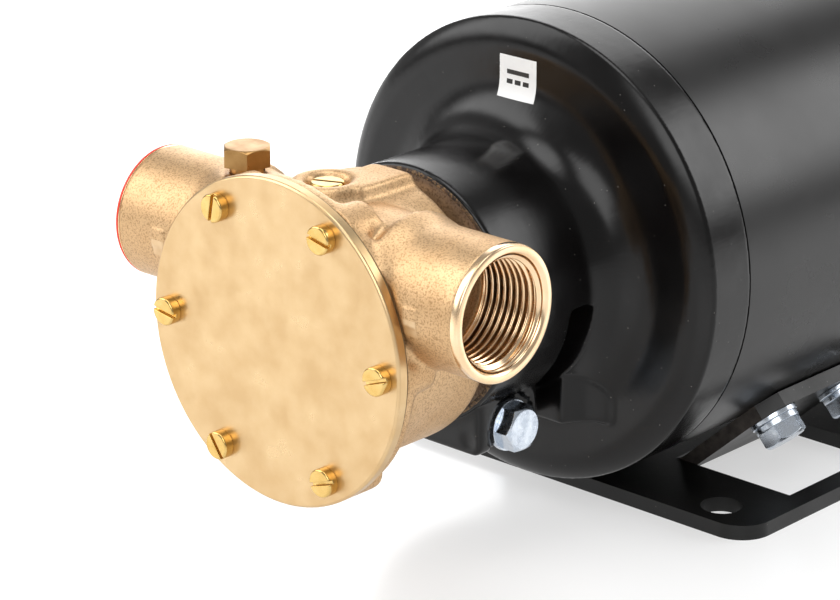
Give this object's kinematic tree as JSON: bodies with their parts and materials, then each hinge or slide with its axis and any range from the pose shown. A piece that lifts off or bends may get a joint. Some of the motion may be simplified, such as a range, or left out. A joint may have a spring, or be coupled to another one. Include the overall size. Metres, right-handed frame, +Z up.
{
  "type": "flexible impeller pump",
  "caption": "Self-priming flexible impeller pump: bronze head with two threaded ports, clamped in the neck of a black direct current motor on a bent base plate.",
  "frame": {"origin": "centre of the four base holes, on the underside of the base plate", "axes": "+Z up, +Y along the shaft from the pump head towards the motor's rear, +X towards the port that is on the right when the cover is faced"},
  "size_m": [0.148, 0.3292, 0.1563],
  "materials": {
    "polished_bronze": "smooth, faintly mottled",
    "machined_bronze": "machined",
    "cast_bronze": "sand-cast, bead blasted",
    "brass": "turned",
    "gasket_paper": "pressed fibre",
    "stainless": "turned",
    "neoprene": "moulded",
    "ceramic": "lapped",
    "carbon": "pressed",
    "black_enamel": "glossy enamel over a casting",
    "satin_enamel": "satin enamel on drawn tube",
    "powder_coat": "satin powder coat",
    "zinc_steel": "bright zinc plated",
    "bearing_steel": "ground",
    "ferrite": "sintered",
    "silicon_steel": "stamped laminations",
    "copper_wire": "enamelled wire",
    "copper": "turned",
    "phenolic": "pressed board",
    "label_film": "printed film, bare",
    "red_plastic": "moulded polyethylene"
  },
  "bodies": {
    "root": {"end_cover": "polished_bronze", "cover_screws": "brass", "cover_gasket": "gasket_paper", "pump_body": "cast_bronze", "cam": "machined_bronze", "cam_screw": "brass", "priming_plug": "brass", "wear_plate": "stainless", "seal_seat": "ceramic", "seat_cup": "neoprene", "lip_seal": "neoprene", "front_bell": "black_enamel", "clamp_bolt": "zinc_steel", "clamp_washer": "zinc_steel", "front_outer_race": "bearing_steel", "rear_outer_race": "bearing_steel", "wave_spring": "stainless", "motor_tube": "satin_enamel", "magnets": "ferrite", "brush_plate": "phenolic", "brush_holders": "brass", "brushes": "carbon", "brush_springs": "stainless", "rear_bell": "black_enamel", "tie_bolts": "zinc_steel", "cable_grommet": "neoprene", "base_plate": "powder_coat", "foot_bolts": "zinc_steel", "spring_washers": "zinc_steel", "flat_washers": "zinc_steel", "voltage_label": "label_film"},
    "rotor": {"impeller": "neoprene", "impeller_insert": "brass", "drive_key": "stainless", "seal_head": "carbon", "seal_bellows": "neoprene", "seal_spring": "stainless", "seal_collar": "stainless", "slinger": "neoprene", "front_inner_race": "bearing_steel", "rear_inner_race": "bearing_steel", "motor_shaft": "stainless", "armature_core": "silicon_steel", "windings": "copper_wire", "commutator": "copper"},
    "front_roll": {"front_balls": "bearing_steel", "front_cage": "brass"},
    "rear_roll": {"rear_balls": "bearing_steel", "rear_cage": "brass"},
    "plug": {"transit_plug": "red_plastic"}
  },
  "joints": [
    {"name": "rotor_spin", "type": "hinge", "parent": "root", "child": "rotor", "pos_m": [0, 0, 0.0833], "axis": [0, 1, 0], "continuous": true, "deforming": ["impeller"]},
    {"name": "front_roll_spin", "type": "hinge", "parent": "root", "child": "front_roll", "pos_m": [0, 0, 0.0833], "axis": [0, 1, 0], "continuous": true},
    {"name": "rear_roll_spin", "type": "hinge", "parent": "root", "child": "rear_roll", "pos_m": [0, 0, 0.0833], "axis": [0, 1, 0], "continuous": true},
    {"name": "transit_plug_pull", "type": "slide", "parent": "root", "child": "plug", "axis": [-1, 0, 0], "range_m": [0, 0.06]}
  ],
  "couplings": [
    {"joint": "front_roll_spin", "follows": "rotor_spin", "ratio": 0.3821},
    {"joint": "rear_roll_spin", "follows": "rotor_spin", "ratio": 0.3825}
  ]
}
